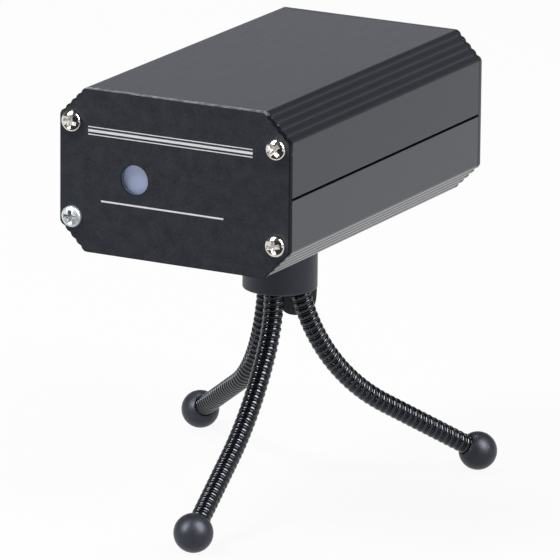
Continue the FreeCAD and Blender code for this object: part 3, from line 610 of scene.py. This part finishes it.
def specks_highlight_and_stripes():
    """Bare specks on the extrusions, a painted highlight along the front plate's top edge and its plain
    pinstripes.
    """
    low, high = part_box("front_plate")
    tree = anodised_ends.node_tree
    specks = spread(tree, noise(tree, place(tree), speck_size, detail=1.0), *speck_span)
    depth = coordinates(tree)["Y"]
    near_end = spread(tree, depth, high.y + speck_full, high.y + speck_end, 1.0, 0.0)
    recolour(anodised_ends, maths(tree, "MULTIPLY", specks, near_end), speck_colour)
    # Painted highlight: a light grey line in broken patches along the front plate's top edge, on its rim
    # material.
    tree = plate_rim.node_tree
    top = spread(tree, coordinates(tree)["Z"], high.z - top_highlight_start, high.z - top_highlight_full)
    patches = noise(tree, place(tree), top_highlight_patch_size, detail=2.0)
    broken = spread(tree, patches, *top_highlight_span, top_highlight_least, 1.0)
    recolour(plate_rim, maths(tree, "MULTIPLY", top, broken), top_highlight_colour)
    tree = plate_paint.node_tree
    middle = (low.z + high.z) / 2
    for left, right, height, thickness in pinstripes:
        stripe = pinstripe(tree, left, right, middle + height, thickness)
        recolour(plate_paint, stripe, pinstripe_colour)


def finish_node(node, material):
    """Gives a CAD node that has no piece of its own its finish."""
    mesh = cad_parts[node].data
    mesh.materials.clear()
    mesh.materials.append(material)


specks_highlight_and_stripes()
node_finishes = {
    milled: ("grating_bracket", "optics_base", "combiner_post", "grating_motor"),
    brass: ("green_laser", "red_laser", "tripod_nut"),
    fan_plastic: ("grating_wheel", "motor_pinion", "fan_frame", "fan_rotor"),
    board_green: ("circuit_board",),
    control_plastic: ("board_parts", "microphone", "pot_body"),
    window_coat: ("laser_lenses", "grating_disc", "beam_combiner"),
    steel_and_recess_shade: ("base_screws", "bracket_screws", "tripod_stud", "switch_body"),
}
for finish, finished_nodes in node_finishes.items():
    for finished_node in finished_nodes:
        finish_node(finished_node, finish)


# Case

top_finish = [top_anodised, anodised_ends]
bottom_finish = [bottom_anodised, anodised_ends]
soft_piece("case_top", "upper_shell", "case", "anodised_case", shell_edge, top_finish)
soft_piece("case_bottom", "lower_shell", "case", "anodised_case", shell_edge, bottom_finish)


def end_plate(name, node, paint, rim):
    """End plate with a rim material on its sides and rounded edges, and a paler wall in its aperture."""
    low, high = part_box("aperture_window")
    aperture = (low + high) / 2
    mesh = softened(node, plate_edge, [paint, aperture_wall, rim])
    for face in mesh.polygons:
        if abs(face.normal.y) < side_facing:
            reach = Vector((face.center.x - aperture.x, face.center.z - aperture.z)).length
            face.material_index = 1 if reach < aperture_reach else 2
    piece(name, mesh, "case", "plate_black", node)


# The front plate's rim is darker than its paint, as painted shade for the gap at the shell, and carries
# a painted highlight along its top edge.
end_plate("front_panel", "front_plate", plate_paint, plate_rim)
end_plate("rear_panel", "rear_plate", rear_paint, rear_rim)
soft_piece("window", "aperture_window", "case", "window_glass", metal_edge, [window_coat])


# Screws

def dome_height(share, head_height):
    """Height of a pan head at a share of its radius."""
    edge = head_edge_share * head_height
    return edge + (head_height - edge) * math.sqrt(max(1 - share * share, 0)) ** dome_power


def recess_tool(head_radius, head_height):
    """Tapered cross that cuts a screw's recess."""
    shape = bmesh.new()
    for turn in (0, 90):
        arm = bmesh.ops.create_cube(shape, size=1)["verts"]
        for v in arm:
            upper = v.co.z > 0
            v.co.x *= head_radius * recess_reach * (1.0 if upper else recess_floor_reach)
            v.co.y *= head_radius * recess_width * (1.0 if upper else recess_floor_width)
            v.co.z = head_height * (recess_top if upper else recess_floor)
        quarter = Matrix.Rotation(math.radians(turn), 3, "Z")
        bmesh.ops.rotate(shape, verts=arm, cent=(0, 0, 0), matrix=quarter)
    mesh = bpy.data.meshes.new("recess")
    shape.to_mesh(mesh)
    shape.free()
    return link("recess", mesh)


def screw_mesh(head_radius, head_height, shank_radius, shank_length):
    """Pan-head screw on Z with a tapered cross recess; its head stands on the origin.

    Faces in the recess take material 1."""
    profile = [(0, -shank_length), (shank_radius, -shank_length), (shank_radius, 0)]
    profile.append((head_radius * head_foot_share, 0))
    for k in range(dome_steps):
        share = math.cos(math.pi / 2 * k / dome_steps)
        profile.append((head_radius * share, dome_height(share, head_height)))
    profile.append((0, head_height))
    head = lathe(profile, screw_segments)
    tool = recess_tool(head_radius, head_height)
    cut = {"object": tool, "operation": "DIFFERENCE", "solver": "EXACT", "use_self": True}
    edge = {
        "width": head_radius * recess_edge,
        "segments": edge_segments,
        "limit_method": "ANGLE",
        "angle_limit": math.radians(recess_edge_angle),
    }
    mesh = baked("screw", head, ("BOOLEAN", cut), ("BEVEL", edge))
    bpy.data.objects.remove(tool)
    for face in mesh.polygons:
        share = math.hypot(face.center.x, face.center.y) / head_radius
        sunk = dome_height(share, head_height) - face.center.z > recess_sink * head_height
        face.material_index = int(share < recess_limit and face.center.z > 0 and sunk)
    return mesh


def screw_set(name, node, sizes, turns, outward, metals):
    """Four screws at the corners of a CAD node's box, each with its recess turned, as one piece.

    Metals are pairs: the head's and the recess's."""
    low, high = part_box(node)
    reach = sizes[0]
    seat = high.y - sizes[1] if outward > 0 else low.y + sizes[1]
    pattern = screw_mesh(*sizes)
    shape = bmesh.new()
    columns = (low.x + reach, high.x - reach)
    rows = (low.z + reach, high.z - reach)
    places = [(x, z) for x in columns for z in rows]
    face_out = Matrix.Rotation(math.radians(-90 * outward), 4, "X")
    for k, (x, z) in enumerate(places):
        start = len(shape.faces)
        shape.from_mesh(pattern)
        shape.faces.ensure_lookup_table()
        moved = shape.faces[start:]
        turn = Matrix.Rotation(math.radians(turns[k]), 4, "Z")
        corners = list({v for f in moved for v in f.verts})
        seated = Matrix.Translation((x, seat, z)) @ face_out @ turn
        bmesh.ops.transform(shape, matrix=seated, verts=corners)
        for face in moved:
            face.material_index += 2 * (k % len(metals))
    mesh = bpy.data.meshes.new(name)
    for pair in metals:
        for metal in pair:
            mesh.materials.append(metal)
    shape.to_mesh(mesh)
    shape.free()
    smooth(mesh, crease_angle)
    piece(name, mesh, "case", "bright_screws", node)


plate_sizes = (screw_head_radius, screw_head_height, screw_shank_radius, screw_shank_length)
fan_sizes = (small_head_radius, small_head_height, small_shank_radius, small_shank_length)
plated = (nickel, stamped)
# The zinc screw's recess takes the darker steel: painted shade in its recess.
front_metals = [(zinc, steel_and_recess_shade), plated, plated, plated]
screw_set("front_screw_set", "front_screws", plate_sizes, front_recess_turns, -1, front_metals)
screw_set("rear_screw_set", "rear_screws", plate_sizes, rear_recess_turns, 1, [plated])
screw_set("fan_screw_set", "fan_screws", fan_sizes, fan_recess_turns, 1, [(steel_and_recess_shade, stamped)])


# Rear controls

def painted(mesh, material, chosen):
    """Mesh whose faces with a chosen centre take one more material."""
    mesh.materials.append(material)
    for face in mesh.polygons:
        if chosen(face.center):
            face.material_index = len(mesh.materials) - 1
    return mesh


jack_low, jack_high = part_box("dc_jack")
jack_middle = (jack_low + jack_high) / 2
knob_low, knob_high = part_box("speed_knob")
knob_middle = (knob_low + knob_high) / 2


def jack_pin(point):
    """Whether a point is on the contact pin of the power inlet."""
    return math.hypot(point.x - jack_middle.x, point.z - jack_middle.z) < jack_pin_radius


def knob_pointer(point):
    """Whether a point is on the floor of the knob's pointer slot."""
    off = point - knob_middle
    height = point.y - (knob_high.y - knob_pointer_depth)
    slot_floor = abs(height) < knob_pointer_slack * knob_pointer_depth
    return slot_floor and abs(off.x) < knob_pointer_half and off.z > 0


inlet_mesh = painted(softened("dc_jack", metal_edge, [control_plastic]), brass, jack_pin)
knob_shape = softened("speed_knob", plastic_edge, [control_plastic])
knob_mesh = painted(knob_shape, white_ink, knob_pointer)
piece("inlet", inlet_mesh, "case", "control_black", "dc_jack")
soft_piece("switch_ring", "switch_nut", "case", "bright_screws", metal_edge, [chrome])
soft_piece("speed_ring", "pot_nut", "case", "bright_screws", metal_edge, [chrome])
soft_piece("toggle", "switch_lever", "switch", "bright_screws", metal_edge, [chrome])
piece("knob", knob_mesh, "knob", "control_black", "speed_knob")


# Tripod

soft_piece("head", "tripod_head", "head", "head_black", plastic_edge, [head_plastic], clamped=True)


def polar(radius, azimuth, z):
    """Point at a radius and an azimuth about the head's axis."""
    a = math.radians(azimuth)
    return Vector((radius * math.cos(a), radius * math.sin(a), z))


def leg_station(leg, distance):
    """Point on a leg's centre line and the tilt of the line there, at a distance below the head."""
    tilt = 0
    out = 0
    drop = min(distance, 0)
    left = max(distance, 0)
    for radius, angle in leg["bends"]:
        step = min(left, radius * math.radians(angle))
        after = tilt + step / radius
        out += radius * (math.cos(tilt) - math.cos(after))
        drop += radius * (math.sin(after) - math.sin(tilt))
        tilt = after
        left -= step
    out += left * math.sin(tilt)
    drop += left * math.cos(tilt)
    root = polar(neck_circle_radius, leg["socket"], rim_height - drop)
    return root + polar(out, leg["heading"], 0), tilt


def leg_length(leg):
    """Length of a leg from the head to the centre of its ball."""
    bent = sum(radius * math.radians(angle) for radius, angle in leg["bends"])
    point, tilt = leg_station(leg, bent)
    return bent + (point.z - ball_centre_height) / math.cos(tilt)


def leg_axes(leg, tilt):
    """Sideways, upward and lengthwise directions of a leg at a tilt."""
    side = polar(1, leg["heading"] + 90, 0)
    along = polar(math.sin(tilt), leg["heading"], -math.cos(tilt))
    return side, along.cross(side), along


def winding(phase):
    """Radius of the wound leg at a phase of its pitch: a wide band, then a narrow ring between grooves.

    Each wire has a gently bowed crown and steep sides."""
    band = (0, band_share, neck_crest_radius, band_bow)
    ring = (ring_start, ring_share, neck_ring_radius, ring_bow)
    for start, share, crest, bow in (band, ring):
        across = abs(2 * (phase - start) / share - 1)
        if across < 1:
            side = crest - bow - neck_groove_radius
            return crest - bow * across ** crown_power - side * across ** wire_squareness
    return neck_groove_radius


def wound_leg(name, leg):
    """Gooseneck: a wide and a narrow wire wound side by side in one helix, from the head to the ball."""
    around = points_around_leg
    start = -neck_socket_depth
    end = leg_length(leg) - ball_radius + ball_hole_depth
    rings = math.ceil((end - start) / neck_pitch * rings_per_pitch)
    shape = bmesh.new()
    last = None
    first = None
    for k in range(rings + 1):
        s = start + (end - start) * k / rings
        point, tilt = leg_station(leg, s)
        side, up, along = leg_axes(leg, tilt)
        ring = []
        for j in range(around):
            a = 2 * math.pi * j / around
            radius = winding((s / neck_pitch - j / around) % 1)
            corner = point + side * radius * math.cos(a) + up * radius * math.sin(a)
            ring.append(shape.verts.new(corner))
        if last:
            for j in range(around):
                after = (j + 1) % around
                shape.faces.new((last[j], last[after], ring[after], ring[j]))
        else:
            first = ring
        last = ring
    shape.faces.new(first[::-1])
    shape.faces.new(last)
    bmesh.ops.recalc_face_normals(shape, faces=shape.faces)
    mesh = bpy.data.meshes.new("leg_winding_" + name)
    shape.to_mesh(mesh)
    shape.free()
    smooth(mesh, wire_crease)
    mesh.materials.append(neck_gloss)
    item = link("leg_winding_" + name, mesh)
    bend_start = leg_station(leg, 0)[0]
    bend_end = leg_station(leg, 2 * hinge_depth)[0]
    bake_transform(item)
    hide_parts("gooseneck_" + name)


def ball_profile():
    """Profile of a ball foot about its centre, from the floor of the leg's hole to the far pole."""
    skin = ball_radius - ball_skin_depth
    hole_angle = math.asin((ball_hole_radius + lip_width) / skin)
    hole_floor = skin - ball_hole_depth
    lip = skin * math.cos(hole_angle)
    profile = [(0, hole_floor), (ball_hole_radius, hole_floor)]
    profile.append((ball_hole_radius, lip - lip_depth))
    profile.append((ball_hole_radius + lip_flare, lip - lip_drop))
    for k in range(ball_steps):
        a = hole_angle + (math.pi - hole_angle) * k / ball_steps
        off_line = (a - math.pi / 2) / math.radians(mould_line_angle)
        radius = skin + ball_skin_depth * math.exp(-off_line ** 2)
        profile.append((radius * math.sin(a), radius * math.cos(a)))
    profile.append((0, -skin))
    return profile


def ball_foot(name, leg):
    """Rubber ball: a lipped hole for the leg, a fine mould line and a flat where it stands."""
    centre, tilt = leg_station(leg, leg_length(leg))
    side, up, along = leg_axes(leg, tilt)
    mesh = lathe(ball_profile(), ball_segments)
    mesh.transform(Matrix((-side, up, -along)).transposed().to_4x4())
    for v in mesh.vertices:
        v.co.z = max(v.co.z, -centre.z)
    smooth(mesh, ball_crease)
    mesh.materials.append(foot_rubber)
    ball = piece("ball_" + name, mesh, "leg_" + name, "foot_rubber", "foot_" + name)
    ball.location = centre


for leg_name, leg_shape in legs.items():
    wound_leg(leg_name, leg_shape)
    ball_foot(leg_name, leg_shape)


# Stage

def photo_camera():
    """Camera at the photograph's place, with its axis through the middle of the image."""
    a = math.radians(camera_azimuth)
    e = math.radians(camera_elevation)
    r = math.radians(camera_roll)
    back = Vector((math.sin(a) * math.cos(e), -math.cos(a) * math.cos(e), math.sin(e)))
    level = Vector((math.cos(a), math.sin(a), 0))
    upright = back.cross(level)
    right = level * math.cos(r) + upright * math.sin(r)
    up = upright * math.cos(r) - level * math.sin(r)
    data = bpy.data.cameras.new("camera")
    data.sensor_width = sensor_width
    data.lens = focal_pixels * sensor_width / image_width
    data.clip_start = clip_near
    data.clip_end = clip_far
    camera = link("camera", data)
    axes = Matrix((right, up, back)).transposed()
    camera.matrix_world = Matrix.Translation(camera_target - axes @ camera_offset) @ axes.to_4x4()
    bpy.context.scene.camera = camera


def softbox(name, place_at, width, height, power):
    """Soft light with an upright frame, aimed at the middle of the object."""
    data = bpy.data.lights.new(name, "AREA")
    data.shape = "RECTANGLE"
    data.size = width
    data.size_y = height
    data.energy = power
    lamp = link(name, data)
    lamp.location = place_at
    lamp.visible_camera = False
    aim = lamp_aim - Vector(place_at)
    lamp.rotation_euler = aim.to_track_quat("-Z", "Y").to_euler()
    return lamp


def sparkle(name, lit_names, **look):
    """Soft light for gloss alone, on some pieces: it leaves the case as the other lamps show it."""
    lamp = softbox(name, **look)
    lamp.visible_diffuse = False
    lit = bpy.data.collections.new(name + "_lit")
    for lit_name in lit_names:
        lit.objects.link(bpy.data.objects[lit_name])
    lamp.light_linking.receiver_collection = lit


def floor_white():
    """White for the floor: the camera and reflections see most of it without shadow."""
    material = bpy.data.materials.new("floor_white")
    material.use_nodes = True
    tree = material.node_tree
    tree.nodes.clear()
    path = add(tree, "LightPath").outputs
    seen = maths(tree, "MAXIMUM", path["Is Camera Ray"], path["Is Glossy Ray"])
    seen = maths(tree, "MAXIMUM", seen, path["Is Transmission Ray"])
    share = maths(tree, "MULTIPLY", seen, floor_glow)
    matt = add(tree, "BsdfDiffuse", {"Color": floor_colour}).outputs[0]
    glow = add(tree, "Emission", {"Color": white, "Strength": 1.0}).outputs[0]
    mixed = add(tree, "MixShader", {0: share, 1: matt, 2: glow}).outputs[0]
    add(tree, "OutputMaterial", {"Surface": mixed})
    return material


def floor():
    """White floor that lies under the lowest ball, however the legs are bent."""
    mesh = bpy.data.meshes.new("floor")
    left = -floor_reach
    right = floor_reach
    corners = [(left, left, 0), (right, left, 0), (right, right, 0), (left, right, 0)]
    mesh.from_pydata(corners, [], [(0, 1, 2, 3)])
    mesh.materials.append(floor_white())
    ground = link("floor", mesh)
    ground.location.z = floor_limit
    for name in legs:
        ball = bpy.data.objects["ball_" + name]
        stop = ground.constraints.new("FLOOR")
        stop.target = ball
        stop.floor_location = "FLOOR_NEGATIVE_Z"
        stop.offset = -ball.location.z
    return ground


def dark_card(ground):
    """Dark folded card in front of the object, seen only in reflections, for contrast in the gloss."""
    mesh = bpy.data.meshes.new("dark_card")
    corners = [
        (card_left, card_near, card_lift),
        (card_right, card_near, card_lift),
        (card_right, card_far, card_lift),
        (card_left, card_far, card_lift),
        (card_right, card_far, card_top),
        (card_left, card_far, card_top),
    ]
    mesh.from_pydata(corners, [], [(0, 1, 2, 3), (3, 2, 4, 5)])
    card = link("dark_card", mesh)
    card.parent = ground
    card.visible_camera = False
    card.visible_diffuse = False
    card.visible_shadow = False
    material = bpy.data.materials.new("card_black")
    material.use_nodes = True
    shader = material.node_tree.nodes["Principled BSDF"]
    shader.inputs["Base Color"].default_value = card_colour
    shader.inputs["Roughness"].default_value = card_roughness
    mesh.materials.append(material)


def sky():
    """World: white at the horizon, a pale wall behind the object and dim elsewhere."""
    world = bpy.data.worlds.new("studio")
    bpy.context.scene.world = world
    world.use_nodes = True
    tree = world.node_tree
    tree.nodes.clear()
    direction = add(tree, "SeparateXYZ", {0: add(tree, "TexCoord").outputs["Generated"]}).outputs
    horizon = spread(tree, direction["Z"], *horizon_fade, 1.0, 0.0)
    low = spread(tree, direction["Z"], *wall_fade, 1.0, 0.0)
    behind = spread(tree, direction["Y"], *wall_back)
    wall = maths(tree, "MULTIPLY", low, behind)
    dim = spread(tree, wall, 0.0, 1.0, dim_strength, wall_strength)
    strength = maths(tree, "MAXIMUM", horizon, dim)
    colour = blend_colours(tree, horizon, sky_colour, white)
    glow = add(tree, "Background", {"Color": colour, "Strength": strength}).outputs[0]
    add(tree, "OutputWorld", {"Surface": glow})


bpy.context.scene.view_settings.view_transform = "Standard"
photo_camera()
dark_card(floor())
sky()
for lamp_name, lamp_look in softboxes.items():
    softbox(lamp_name, **lamp_look)
for lamp_name, lamp_look in sparkles.items():
    sparkle(lamp_name, receivers[lamp_name], **lamp_look)
